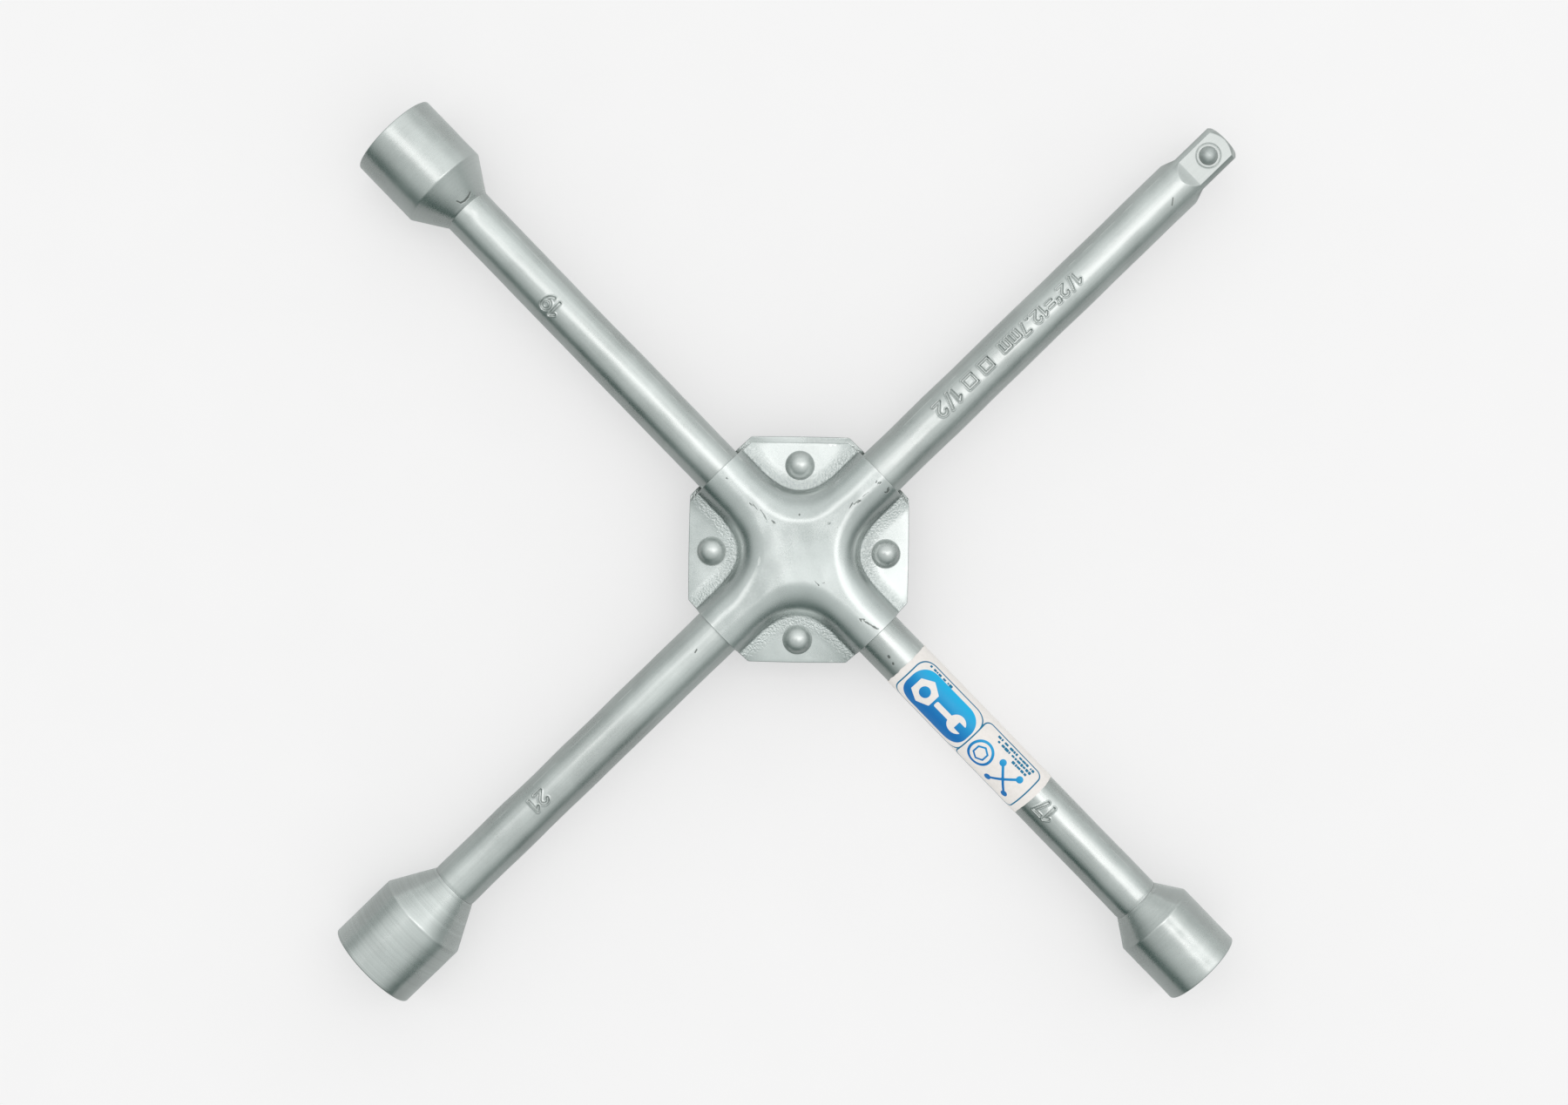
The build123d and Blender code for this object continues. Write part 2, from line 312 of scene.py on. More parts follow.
def plated_steel(
    name, tint, roughness, stretch, lines, speckle, pits, seed, turned=None, marks=False, pressed=False
):
    """Zinc-plated steel: clouded plating, fine speckle, tool lines, small pits and brighter worn edges.
    Stretch is how the tool lines are drawn out, per axis, and lines is how strong they are. Turned is
    the stretch of a second set, which runs round the piece near the 21 mm socket. With marks the mesh
    says where it is scratched, flaked, stamped or milled: scratches and flakes are dark marks, while the
    dark band along the stamps' groove walls and the darker milled flats are painted shade. With pressed
    it says where it is pebbled."""
    material, g = new_material(name)
    space = g.add("ShaderNodeTexCoord").outputs["Object"]
    shift = g.add("ShaderNodeVectorMath", {0: space, 1: (seed, seed, seed)}, operation="ADD")
    vector = shift.outputs[0]
    cloud = g.noise(vector, 42.0, 3.0)
    grain = g.noise(vector, 1500.0, 5.0, 0.72)
    frost = g.noise(vector, 5200.0, 2.0)
    tooling = g.noise(vector, 1.0, 4.0, 0.6, stretch)
    cells = g.add("ShaderNodeTexVoronoi", {"Vector": vector, "Scale": 240.0}).outputs["Distance"]
    rare = g.noise(vector, 190.0, 3.0, 0.7)
    pit_size = g.fit_range(rare, 0.57, 0.8, 0.0, 0.16 * pits)
    ragged = g.math("ADD", cells, g.fit_range(grain, 0.3, 0.7, -0.035, 0.035))
    pit = g.math("MULTIPLY", g.math("SUBTRACT", pit_size, ragged), 26.0, clamp=True)
    edge = g.add("ShaderNodeNewGeometry").outputs["Pointiness"]
    worn = g.fit_range(edge, 0.52, 0.6)

    dark = tuple(0.8 * c for c in tint) + (1.0,)
    light = tuple(min(1.0, 1.14 * c) for c in tint) + (1.0,)
    tone = g.fit_range(cloud, 0.3, 0.7, 0.25, 0.75)
    tone = g.math("ADD", tone, g.fit_range(grain, 0.3, 0.7, -0.5 * speckle, 0.5 * speckle))
    tone = g.math("ADD", tone, g.fit_range(tooling, 0.3, 0.7, -0.35 * lines, 0.35 * lines), clamp=True)
    colour = g.mix(tone, dark, light)
    colour = g.stain(colour, pit, 0.75, (0.07, 0.075, 0.07, 1.0))
    colour = g.stain(colour, worn, 0.45, (0.85, 0.86, 0.85, 1.0))
    gloss = g.fit_range(cloud, 0.3, 0.7, roughness - 0.04, roughness + 0.05)
    gloss = g.math("ADD", gloss, g.fit_range(grain, 0.3, 0.7, -0.12 * speckle, 0.16 * speckle))
    gloss = g.plus(gloss, pit, 0.25, clamp=True)
    height = g.math("MULTIPLY", grain, 0.9 * speckle)
    height = g.plus(height, frost, 0.25)
    height = g.plus(height, tooling, 1.6 * lines)
    height = g.plus(height, pit, -2.4)
    height = g.plus(height, g.noise(vector, 260.0, 2.0), 0.9)
    if turned:
        x = g.add("ShaderNodeSeparateXYZ", {0: space}).outputs["X"]
        patch = g.fit_range(g.noise(vector, 26.0, 2.0), 0.3, 0.7, 0.5, 1.0)
        patch = g.math("MULTIPLY", patch, g.fit_range(x, -0.142, -0.11, 1.0, 0.04))
        chatter = g.math("MULTIPLY", g.noise(vector, 1.0, 3.0, 0.6, turned), patch)
        height = g.plus(height, chatter, 0.9)
        colour = g.stain(colour, chatter, 0.35, dark)
    if marks:
        # The milled flats are painted darker than the rest of the drive: painted shade.
        milled = g.attribute("milled")
        colour = g.stain(colour, milled, 0.5, dark)
        gloss = g.plus(gloss, milled, 0.08, clamp=True)
        # The dark mark colour is real scratches and flaked plating, and along the stamps' groove walls it
        # is painted shade.
        mark = g.fit_range(g.attribute("mark"), 0.0, 0.22, 1.0, 0.0)
        colour = g.stain(colour, mark, 0.7, (0.09, 0.1, 0.09, 1.0))
        gloss = g.plus(gloss, mark, 0.2, clamp=True)
        height = g.plus(height, mark, -2.0)
    if pressed:
        pebble = g.math("MULTIPLY", g.noise(vector, 1500.0, 2.0, 0.6), g.attribute("grit"))
        height = g.plus(height, pebble, 15.0)
    normal = g.bump(height, 0.55, 0.00005)
    g.principled({"Base Color": colour, "Metallic": 1.0, "Roughness": gloss, "Normal": normal})
    return material


def film_print(name):
    """Glossy film with its print. The mesh holds how far each point is from each ink's edge, and how far
    round the arm it is, which paints the solid ink darker towards one side as painted shade.
    """
    material, g = new_material(name)
    space = g.add("ShaderNodeTexCoord").outputs["Object"]
    fibre = g.noise(space, 900.0, 4.0)
    crease = g.noise(space, 140.0, 2.0, 0.5, (1.0, 0.25, 1.0))
    paper = g.mix(g.fit_range(fibre, 0.3, 0.7), (0.86, 0.825, 0.785, 1.0), (0.9, 0.865, 0.83, 1.0))
    # The solid ink's blue is painted darker towards the -X side of the arm and lighter towards the +X
    # side: painted shade and painted highlight.
    across = g.fit_range(g.attribute("across"), -6.0, 6.0)
    solid = g.mix(across, (0.0, 0.17, 0.5, 1.0), (0.0, 0.47, 0.82, 1.0))
    teal = (0.0, 0.18, 0.34, 1.0)
    colour = g.mix(g.fit_range(g.attribute("line_ink"), -0.04, 0.04, 1.0, 0.0), paper, teal)
    colour = g.mix(g.fit_range(g.attribute("solid_ink"), -0.04, 0.04, 1.0, 0.0), colour, solid)
    feeds = {
        "Base Color": colour,
        "Roughness": g.fit_range(fibre, 0.3, 0.7, 0.3, 0.42),
        "Specular IOR Level": 0.35,
        "Coat Weight": 0.1,
        "Coat Roughness": 0.15,
        "Normal": g.bump(g.plus(crease, fibre, 0.1), 0.35, 0.0001),
    }
    g.principled(feeds)
    return material


def polished_steel(name, tint, roughness):
    """Hardened steel with fine scuffs."""
    material, g = new_material(name)
    space = g.add("ShaderNodeTexCoord").outputs["Object"]
    scuff = g.noise(space, 2200.0, 4.0, 0.6, (1.0, 0.12, 1.0))
    haze = g.noise(space, 420.0, 3.0)
    dark = tuple(0.82 * c for c in tint) + (1.0,)
    colour = g.mix(g.fit_range(haze, 0.3, 0.7), dark, tint + (1.0,))
    gloss = g.fit_range(scuff, 0.35, 0.7, roughness, roughness + 0.14)
    normal = g.bump(scuff, 0.25, 0.00002)
    g.principled({"Base Color": colour, "Metallic": 1.0, "Roughness": gloss, "Normal": normal})
    return material


ZINC = (0.657, 0.68, 0.668)
HUB_ZINC = (0.625, 0.655, 0.645)
LONG_X = (25.0, 1100.0, 1100.0)
LONG_Y = (1100.0, 25.0, 1100.0)
TURNED_X = (1700.0, 14.0, 14.0)
TURNED_Y = (14.0, 1700.0, 14.0)
EVEN = (120.0, 120.0, 120.0)

rod_x_steel = plated_steel(
    "rod_x_plating", ZINC, 0.32, LONG_X, 0.3, 0.2, 0.15, turned=TURNED_X, marks=True, seed=1.3
)
rod_y_steel = plated_steel("rod_y_plating", ZINC, 0.29, LONG_Y, 0.3, 0.2, 0.15, marks=True, seed=2.9)
socket_steel = {
    17: plated_steel("socket_17_plating", ZINC, 0.27, TURNED_Y, 0.16, 0.16, 0.35, marks=True, seed=4.1),
    19: plated_steel("socket_19_plating", ZINC, 0.28, TURNED_Y, 0.14, 0.16, 0.35, marks=True, seed=5.7),
    21: plated_steel("socket_21_plating", ZINC, 0.25, TURNED_X, 0.5, 0.1, 0.35, marks=True, seed=6.4),
}
hub_steel = plated_steel(
    "hub_plating", HUB_ZINC, 0.265, EVEN, 0.12, 0.16, 0.16, marks=True, pressed=True, seed=7.7
)
rivet_steel = plated_steel("rivet_plating", ZINC, 0.3, EVEN, 0.1, 0.3, 0.2, seed=8.2)
ball_steel = polished_steel("ball_steel", (0.63, 0.66, 0.65), 0.46)
spring_steel = polished_steel("spring_steel", (0.32, 0.32, 0.33), 0.22)
label_film = film_print("label_film")


# ---- rods ----

# Where the milling cutter runs out of the round bar, from nothing to the drive's flats.
DRIVE_RAMP = (166.2, 170.0)

# Scratches and nicks on the upper side of the bars and sockets.
BAR_MARKS = [
    ((160.6, -1.8), (158.9, -3.3), 0.06),
    ((-2.5, -42.7), (-2.6, -43.1), 0.3),
    ((-3.0, -45.2), (-3.2, -45.5), 0.2),
    ((-44.9, 0.1), (-43.9, 0.4), 0.12),
    ((-0.3, 152.3), (0.2, 151.2), 0.1),
    ((0.2, 151.2), (1.5, 150.9), 0.14),
    ((1.5, 150.9), (3.2, 151.1), 0.18),
    ((3.2, 151.1), (4.6, 151.7), 0.12),
]


def section_angles(corners):
    """Angles round a rod from its top, closer together on the stamped upper side."""
    spans = stations((-180.0, 180.0, 1.8), (-48.0, 48.0, 1.0))
    extra = [(quarter + c) % 360.0 - 180.0 for quarter in range(0, 360, 90) for c in corners]
    angles = np.unique(np.round(np.concatenate([spans, extra]), 3))
    return np.radians(angles[angles < 180.0 - 1e-6])


def drive_radius(s, angle):
    """The radius of the square drive's rod: round, then ramped down to four flats, then a bevelled tip."""
    start, end = DRIVE_RAMP
    run_out = 1.0 - np.clip((s - start) / (end - start), 0.0, 1.0)
    ramp = DRIVE_HALF + (BAR_R - DRIVE_HALF) * run_out**1.15
    flats = ramp / np.maximum(np.abs(np.cos(angle)), np.abs(np.sin(angle)))
    bevel = BAR_R - np.clip(s - (DRIVE_TIP - TIP_BEVEL), 0.0, None)
    return np.minimum(np.minimum(flats, BAR_R), bevel)


def stake_mouth(s, angle, radius):
    """The drive's radius with the ring staked into its upper flat round the ball: a low lip inside a
    groove."""
    flat = (np.cos(angle) > 0.7) & (s > DRIVE_RAMP[1])
    ring = np.hypot(s - BALL_PLACE[0], radius * np.sin(angle))
    step = 0.05 * np.exp(-(((ring - 3.3) / 0.15) ** 2)) - 0.16 * np.exp(-(((ring - 3.9) / 0.14) ** 2))
    return np.where(flat, (radius * np.cos(angle) + step) / np.cos(angle), radius)


def stamp(along, round_rod, text, height, gap, way):
    """How far a size stamp moves the surface, down in its strokes and up at their edges, by the distances
    from its middle, and how near the strokes are, in stroke widths. Way is +1 where the stamp reads along
    the rod's axis and -1 where it reads against it."""
    near = stroke_distance(text_strokes(text, height, gap), way * along, way * round_rod)
    size = 0.5 + height / 10.0
    groove = 0.5 * size**2 * (1.0 - ease(0.1 * size, 0.58 * size, near))
    burr = 0.15 * size * np.exp(-(((near / size - 0.7) / 0.19) ** 2))
    return burr - groove, near / size


def forge_lap(points, s, across, side):
    """Flattens a rod to half its height where the other crosses it, and lets the pad swell sideways.
    Side is the side of the crossing plane that the pad lies on."""
    lap = LAP_HALF + 0.25 * np.abs(points[..., 2])
    inside = (np.abs(s) < lap) & (points[..., 2] * side < 0.0)
    points[..., 2] = np.where(inside, 0.0, points[..., 2])
    swell = np.sqrt(np.clip(PAD_R**2 - s**2, BAR_R**2, None)) / BAR_R
    points += ((swell - 1.0) * (points @ across))[..., None] * across
    points[..., 2] *= np.where(np.abs(s) < PAD_R, 0.96, 1.0)


def build_rod(name, axis, places, side, stamps, drive=False):
    """A forged rod through the hub, with the half lap where it crosses the other and its stamps. Each
    stamp is (place, arc place, text, height, gap, way)."""
    across = np.cross(UP, axis)
    corner = math.degrees(math.acos(DRIVE_HALF / BAR_R))
    angles = section_angles((corner, -corner) if drive else ())
    s, angle = np.meshgrid(places, angles, indexing="ij")
    radius = np.full(s.shape, BAR_R)
    if drive:
        radius = np.where(s > 0.0, drive_radius(s, angle), radius)
    outward = round_way(angle, across)

    # The weld at the rod's first end leaves a shallow groove.
    radius -= 0.1 * ease(0.0, 1.0, 1.0 - (s - places[0])) * (s < places[0] + 1.0)
    bare = s[..., None] * axis + radius[..., None] * outward

    # The drawn bar isn't quite even, except in the hub, at its ends and on the drive.
    free = (1.0 - ease(162.0, 165.0, s)) * ease(34.0, 44.0, np.abs(s))
    free = free * ease(1.5, 5.0, s - places[0]) * ease(1.5, 5.0, places[-1] - s)
    radius += free * (0.07 * waves(bare, 21.0, 3) + 0.014 * waves(bare, 8.0, 5) - 0.05)
    mark = np.full(s.shape, 2.0)
    for place, arc_place, text, height, gap, way in stamps:
        rows = np.abs(places - place) < 34.0
        change, near = stamp(s[rows] - place, BAR_R * angle[rows] - arc_place, text, height, gap, way)
        top = np.cos(angle[rows]) > 0.2
        radius[rows] += np.where(top, change, 0.0)
        # Along each stamp's groove walls the mark is low, so the material paints a dark band there:
        # painted shade.
        mark[rows] = np.minimum(mark[rows], np.where(top, np.abs(near - 0.4) + 0.08, 2.0))
    mark = np.minimum(mark, plan_marks(bare, BAR_MARKS))
    milled = np.zeros(s.shape)
    if drive:
        radius = stake_mouth(s, angle, radius)
        # The milled flats, which the material paints darker as painted shade and makes a little rougher.
        milled = ease(166.4, 168.0, s) * (np.cos(2.0 * angle) ** 2 > 0.05)
    points = s[..., None] * axis + radius[..., None] * outward
    forge_lap(points, s, across, side)

    # Each end is closed by rings that grow from its middle, crowned a little.
    cap_count = 6
    caps = []
    for at, out, ring in ((places[0], -axis, points[0]), (places[-1], axis, points[-1])):
        shares = np.linspace(0.0, 0.85, cap_count)[:, None, None]
        caps.append(at * axis + (ring - at * axis) * shares + 0.03 * (1.0 - shares**2) * out)
    rings = np.concatenate([caps[0], points, caps[1][::-1]])
    points = rings.reshape(-1, 3)
    piece = make_mesh(name, *weld(points, grid_quads(len(rings), len(angles), wrap=True)))
    first = distinct(points)[0]
    for key, values, beyond in (("mark", mark, 2.0), ("milled", milled, 0.0)):
        cap = np.full((cap_count, len(angles)), beyond)
        store(piece, key, np.concatenate([cap, values, cap]).ravel()[first])
    return piece


# The legs along each rod are finer at its ends, its stamps, its scratches and its drive.
rod_y_legs = [(-150.0, 0.3), (-117.5, 0.9), (-106.5, 0.18), (-46.0, 0.9), (-42.0, 0.2), (-36.0, 0.9)]
rod_y_legs += [(36.0, 1.5), (104.0, 0.9), (114.0, 0.18), (146.0, 0.9), (SOCKETS[19]["weld"], 0.3)]
rod_y = build_rod(
    "rod_17_19",
    ALONG_Y,
    walk(-SOCKETS[17]["weld"], rod_y_legs),
    -1.0,
    [(109.0, 1.9, "19", 4.9, 1.1, 1.0), (-111.2, 0.8, "17", 4.7, 1.2, 1.0)],
)
fit(rod_y, "wrench", "bar_plating", rod_y_steel, "bar_17_19")

rod_x_legs = [(-149.0, 0.3), (-117.0, 0.9), (-107.0, 0.18), (-45.4, 0.9), (-43.4, 0.2), (-36.0, 0.9)]
rod_x_legs += [(36.0, 1.5), (60.5, 0.9), (126.5, 0.22), (158.6, 0.9), (161.2, 0.16), (165.0, 0.9)]
rod_x_legs += [(170.5, 0.16), (173.6, 0.4), (182.4, 0.12), (DRIVE_TIP - TIP_BEVEL, 0.4), (DRIVE_TIP, 0.21)]
rod_x = build_rod(
    "rod_21_drive",
    ALONG_X,
    walk(-SOCKETS[21]["weld"], rod_x_legs),
    1.0,
    [
        (-112.0, 0.8, "21", 4.3, 1.2, -1.0),
        (106.0, 1.2, '1/2"=12.7mm', 3.7, 1.2, -1.0),
        (72.9, 1.2, "# # 1/2", 4.4, 1.3, -1.0),
    ],
    drive=True,
)


def revolved_mesh(name, profile, centre, count, sharp_angle=32.0):
    """A mesh turned about a vertical line through centre, from (radius, height) pairs."""
    turn = np.linspace(0.0, 2.0 * math.pi, count, endpoint=False)
    radius, height = np.array(profile).T[..., None]
    x = centre[0] + radius * np.cos(turn)
    y = centre[1] + radius * np.sin(turn)
    points = np.stack([x, y, np.broadcast_to(height, x.shape)], axis=-1).reshape(-1, 3)
    return make_mesh(name, *weld(points, grid_quads(len(profile), count, True)), sharp_angle)


# The ball's pocket is cut from the drive: a blind bore, closed in round the ball at its mouth.
seat_r = BALL_R + 0.04
above_drive = 9.5
pocket_profile = [(0.0, POCKET_FLOOR), (POCKET_R, POCKET_FLOOR), (POCKET_R, 4.5)]
for a in np.radians(np.linspace(0.0, 66.0, 14))[2:]:
    pocket_profile.append((seat_r * math.cos(a), BALL_PLACE[2] + seat_r * math.sin(a)))
pocket_profile += [(1.3, above_drive), (0.0, above_drive)]
cutter = revolved_mesh("pocket_cutter", pocket_profile, BALL_PLACE[:2], 72)
cut = rod_x.modifiers.new("pocket", "BOOLEAN")
cut.operation = "DIFFERENCE"
cut.solver = "MANIFOLD"
cut.object = cutter
bpy.context.view_layer.update()
evaluated = rod_x.evaluated_get(bpy.context.evaluated_depsgraph_get())
drilled = bpy.data.meshes.new_from_object(evaluated)
rod_x.modifiers.clear()
rod_x.data = drilled
drilled.shade_smooth()
drilled.set_sharp_from_angle(angle=math.radians(32.0))
bpy.data.objects.remove(cutter)
fit(rod_x, "wrench", "bar_plating", rod_x_steel, "bar_21_drive")


# ---- sockets ----


SOCKET_COUNT = 216
RIM_R = 0.4
LEAD_IN = 0.7


def socket_outside(weld_at, shoulder, rim, body_r):
    """A socket's outer profile from its weld to its rim, as (place, radius) pairs."""
    slope = (body_r - BAR_R) / (shoulder - weld_at)
    outer = [(weld_at, 0.0), (weld_at, BAR_R - 0.6), (weld_at + 0.05, BAR_R + 0.02)]
    for u in stations((0.03, 0.3, 0.02), (0.3, 0.96, 0.055)):
        outer.append((weld_at + (shoulder - weld_at) * u, BAR_R + (body_r - BAR_R) * u))
    outer.append((shoulder - 0.16, body_r - 0.16 * slope))
    outer.append((shoulder + 0.1, body_r))
    for s in stations((shoulder + 0.4, rim - 1.0, 0.75)):
        outer.append((s, body_r))
    for u in np.radians(np.linspace(0.0, 90.0, 8)):
        outer.append((rim - RIM_R + RIM_R * math.sin(u), body_r - RIM_R + RIM_R * math.cos(u)))
    return outer


def socket_inside(size, rim, body_r, turn):
    """A socket's face, lead-in, hexagon recess and drilled bore, as (place, radii round it) pairs."""
    flat_r = (size + HEXAGON_PLAY) / 2.0
    sixth = math.radians(30.0)
    from_corner = (turn + sixth) % (2.0 * sixth) - sixth
    hexagon = flat_r / np.cos(sixth - np.abs(from_corner))
    circle = np.ones(SOCKET_COUNT)
    lead = flat_r / math.cos(sixth) + LEAD_IN
    face_r = body_r - 2.0 * RIM_R
    floor = rim - HEXAGON_DEPTH
    bore_r = STUD_BORE_SHARE * size
    bore_end = floor - STUD_BORE_DEPTH
    rings = [(rim, circle * (face_r - (face_r - lead - 0.15) * u)) for u in np.linspace(0.0, 1.0, 5)]
    for depth in np.linspace(0.12, lead - flat_r, 16):
        rings.append((rim - depth, np.maximum(circle * (lead - depth), hexagon)))
    rings += [(s, hexagon) for s in np.linspace(rim - 3.2, floor + 0.2, 16)]
    rings.append((floor, hexagon - 0.2))
    rings.append((floor, circle * (bore_r + 0.1)))
    rings += [(s, circle * bore_r) for s in np.linspace(floor - 0.15, bore_end, 4)]
    rings.append((bore_end - bore_r / math.tan(math.radians(59.0)), 0.0 * circle))
    return rings


def build_socket(size):
    """A turned socket: cone, barrel, rolled rim, lead-in, hexagon recess and a drilled bore behind it."""
    place = SOCKETS[size]
    axis, body_r, weld_at, rim = place["axis"], place["body_r"], place["weld"], place["rim"]
    turn = np.linspace(0.0, 2.0 * math.pi, SOCKET_COUNT, endpoint=False)
    outer = socket_outside(weld_at, place["shoulder"], rim, body_r)
    rings = [(s, np.full(SOCKET_COUNT, r)) for s, r in outer]
    rings += socket_inside(size, rim, body_r, turn)

    s = np.array([r[0] for r in rings])[:, None] * np.ones(SOCKET_COUNT)
    radius = np.array([r[1] for r in rings])
    outside = np.arange(len(rings))[:, None] < len(outer)
    outward = round_way(turn, np.cross(UP, axis))
    points = s[..., None] * axis + radius[..., None] * outward
    wobble = 0.03 * waves(points, 22.0, size) + 0.012 * waves(points, 5.0, size + 1) - 0.04
    seam = np.exp(-(((s - weld_at - 0.5) / 0.35) ** 2))
    wobble += 0.04 * seam * waves(points, 7.0, size + 2)
    radius = radius + np.where(outside & (radius > 1.0), wobble, 0.0)
    points = (s[..., None] * axis + radius[..., None] * outward).reshape(-1, 3)
    piece = make_mesh(f"socket_{size}_nose", *weld(points, grid_quads(len(rings), SOCKET_COUNT, True)))
    store(piece, "mark", plan_marks(place_of(piece), BAR_MARKS))
    fit(piece, "wrench", "socket_plating", socket_steel[size], f"socket_{size}")


for size in SOCKETS:
    build_socket(size)


# ---- hub ----

CORNER_R = 15.6
CORNER_AT = HUB_CREST + CORNER_R
BLANK_HALF = 34.4
MOUTH_PULL = 0.3
FLANGE_LIFT = 0.8
EDGE_R = 0.25
SECTION_COUNT = 52

# A row of points round one quarter of the hub runs in from one mouth, round the bend, and out to the
# other mouth. STRAIGHT is how near the mouth each point of a straight end is, and ENDS how many it has.
STRAIGHT = 1.0 - np.linspace(0.0, 1.0, 18) ** 0.8
QUARTER = np.radians(np.linspace(0.0, 90.0, 41))[1:-1]
ENDS = len(STRAIGHT)
COLUMNS = 2 * ENDS + len(QUARTER)


def bend_line(start, bends):
    """A section line that leaves a point level and bends down. Each bend is an arc, as its radius and the
    angle it reaches in degrees, or a straight run, as its length and None."""
    points = [np.array(start, float)]
    angle = 0.0
    for size, reached in bends:
        target = angle if reached is None else math.radians(reached)
        length = size if reached is None else size * abs(target - angle)
        steps = np.linspace(angle, target, 31)
        for middle in 0.5 * (steps[1:] + steps[:-1]):
            points.append(points[-1] + length / 30.0 * np.array([math.cos(middle), -math.sin(middle)]))
        angle = target
    return np.array(points)


def even_line(points, count):
    """A line's points again, evenly spaced along it."""
    reach = np.concatenate([[0.0], np.cumsum(np.linalg.norm(np.diff(points, axis=0), axis=1))])
    places = np.linspace(0.0, reach[-1], count)
    return np.column_stack([np.interp(places, reach, points[:, k]) for k in range(2)])


def dome_section(start, bends):
    """A section of the dome from its crown, evenly spaced and scaled to end exactly on the flange."""
    line = bend_line((start, HUB_CREST), bends)
    drop = (HUB_CREST - SHEET) / (line[0, 1] - line[-1, 1])
    line[:, 1] = HUB_CREST - (HUB_CREST - line[:, 1]) * drop
    return even_line(line, SECTION_COUNT)


# The dome's section is round about the bar at its mouths. In two of its corners it slopes more gently.
MOUTH_SECTION = dome_section(-HUB_CREST, [(0.5, None), (9.2, 78.0), (0.8, 0.0)])
TIGHT_SECTION = dome_section(-10.6, [(0.6, None), (8.2, 35.0), (9.6, 72.0), (1.0, 0.0)])
GENTLE_SECTION = dome_section(
    -12.2, [(0.3, None), (9.0, 12.0), (14.0, 36.0), (10.5, 66.0), (1.0, 0.0)]
)


def hub_row(t, z, mouth_x, mouth_y):
    """A row of points round one quarter, at distances t from the dome's base."""
    pull = MOUTH_PULL * ease(-2.5, 2.5, t)
    bend = CORNER_R - t[ENDS:-ENDS]
    row = np.zeros((COLUMNS, 3))
    row[:ENDS, 0] = (mouth_x - pull[:ENDS]) * STRAIGHT + CORNER_AT * (1.0 - STRAIGHT)
    row[:ENDS, 1] = HUB_CREST + t[:ENDS]
    row[ENDS:-ENDS, 0] = CORNER_AT - bend * np.sin(QUARTER)
    row[ENDS:-ENDS, 1] = CORNER_AT - bend * np.cos(QUARTER)
    row[-ENDS:, 0] = HUB_CREST + t[-ENDS:]
    row[-ENDS:, 1] = (mouth_y - pull[-ENDS:]) * STRAIGHT[::-1] + CORNER_AT * (1.0 - STRAIGHT[::-1])
    row[:, 2] = z
    return row


def flange_rim(start, mouth_x, mouth_y, cut_at):
    """The flange's outer edge, with a point for each point of the row that the flange starts from."""
    reach = np.concatenate([[0.0], np.cumsum(np.linalg.norm(np.diff(start, axis=0), axis=1))])
    share = (reach / reach[-1])[:, None]
    end_x, end_y = mouth_x - MOUTH_PULL, mouth_y - MOUTH_PULL
    rim = np.array([end_x, cut_at - end_x, 0.0]) * (1.0 - share)
    rim += np.array([cut_at - end_y, end_y, 0.0]) * share
    return rim + 0.12 * np.sin(math.pi * share) * np.array([0.7, 0.7, 0.0])


def hub_quarter(slip, sx, sy):
    """One quarter of a half shell, as rows over its dome and flange and back along its inside, and how
    many rows there are on each side."""
    mouth_x = MOUTH + sx * slip
    mouth_y = MOUTH + sy * slip
    degrees = np.degrees(QUARTER)
    slope = np.zeros(COLUMNS)
    slope[ENDS:-ENDS] = ease(6.0, 42.0, degrees) * ease(6.0, 42.0, 90.0 - degrees)
    corner = (GENTLE_SECTION if sx == sy else TIGHT_SECTION)[:, None]
    section = MOUTH_SECTION[:, None] * (1.0 - slope)[:, None] + corner * slope[:, None]
    way = np.gradient(section, axis=0)
    way[-1] = way[0] = (1.0, 0.0)
    way /= np.linalg.norm(way, axis=2)[..., None]
    inner = section - SHEET * np.stack([-way[..., 1], way[..., 0]], axis=-1)
    lift = FLANGE_LIFT * (HUB_CREST - section[..., 1]) / (HUB_CREST - SHEET)
    rows = [hub_row(s[:, 0], s[:, 1] + rise, mouth_x, mouth_y) for s, rise in zip(section, lift)]
    under = [hub_row(s[:, 0], s[:, 1] + rise, mouth_x, mouth_y) for s, rise in zip(inner, lift)]

    start, low_start = rows[-1], under[-1]
    rim = flange_rim(start, mouth_x, mouth_y, BLANK_HALF * math.sqrt(2.0) + slip * (sx + sy))
    inward = (start - rim) * np.array([1.0, 1.0, 0.0])
    inward /= np.linalg.norm(inward, axis=1)[:, None]
    soft = rim + EDGE_R * inward
    spread = np.linspace(0.0, 1.0, 16)[1:]
    rows += [start * (1.0 - f) + (soft + UP * SHEET) * f for f in spread]
    under += [low_start * (1.0 - f) + (rim + 0.3 * inward + UP * 0.02) * f for f in spread]
    side_count = len(rows)
    for a in np.radians([22.0, 45.0, 68.0, 90.0]):
        height = SHEET - EDGE_R + EDGE_R * math.cos(a)
        rows.append(soft - EDGE_R * math.sin(a) * inward + UP * height)
    rows.append(rim + UP * 0.25)
    rows.append(rim + 0.2 * inward + UP * 0.02)
    return np.array(rows + under[::-1]), side_count


def mouth_lip(rows, side_count, at, outward):
    """The sheet's edge at a mouth, bulged a little, from its outer line to its inner one."""
    top = rows[:side_count, at]
    low = rows[::-1][:side_count, at]
    steps = []
    for q in np.linspace(0.0, 1.0, 8):
        steps.append(top * (1.0 - q) + low * q + 0.22 * math.sin(math.pi * q) ** 0.6 * outward)
    lip = np.array(steps)
    lip[1:, -1] = rows[side_count : side_count + 7, at]
    return lip


def crown(row):
    """The nearly flat middle of the hub, from a row's bend to the centre."""
    line = row[ENDS - 1 : COLUMNS - ENDS + 1]
    centre = np.array([0.0, 0.0, line[0, 2]])
    return np.array([centre + (line - centre) * w for w in np.linspace(1.0, 0.0, 20)])


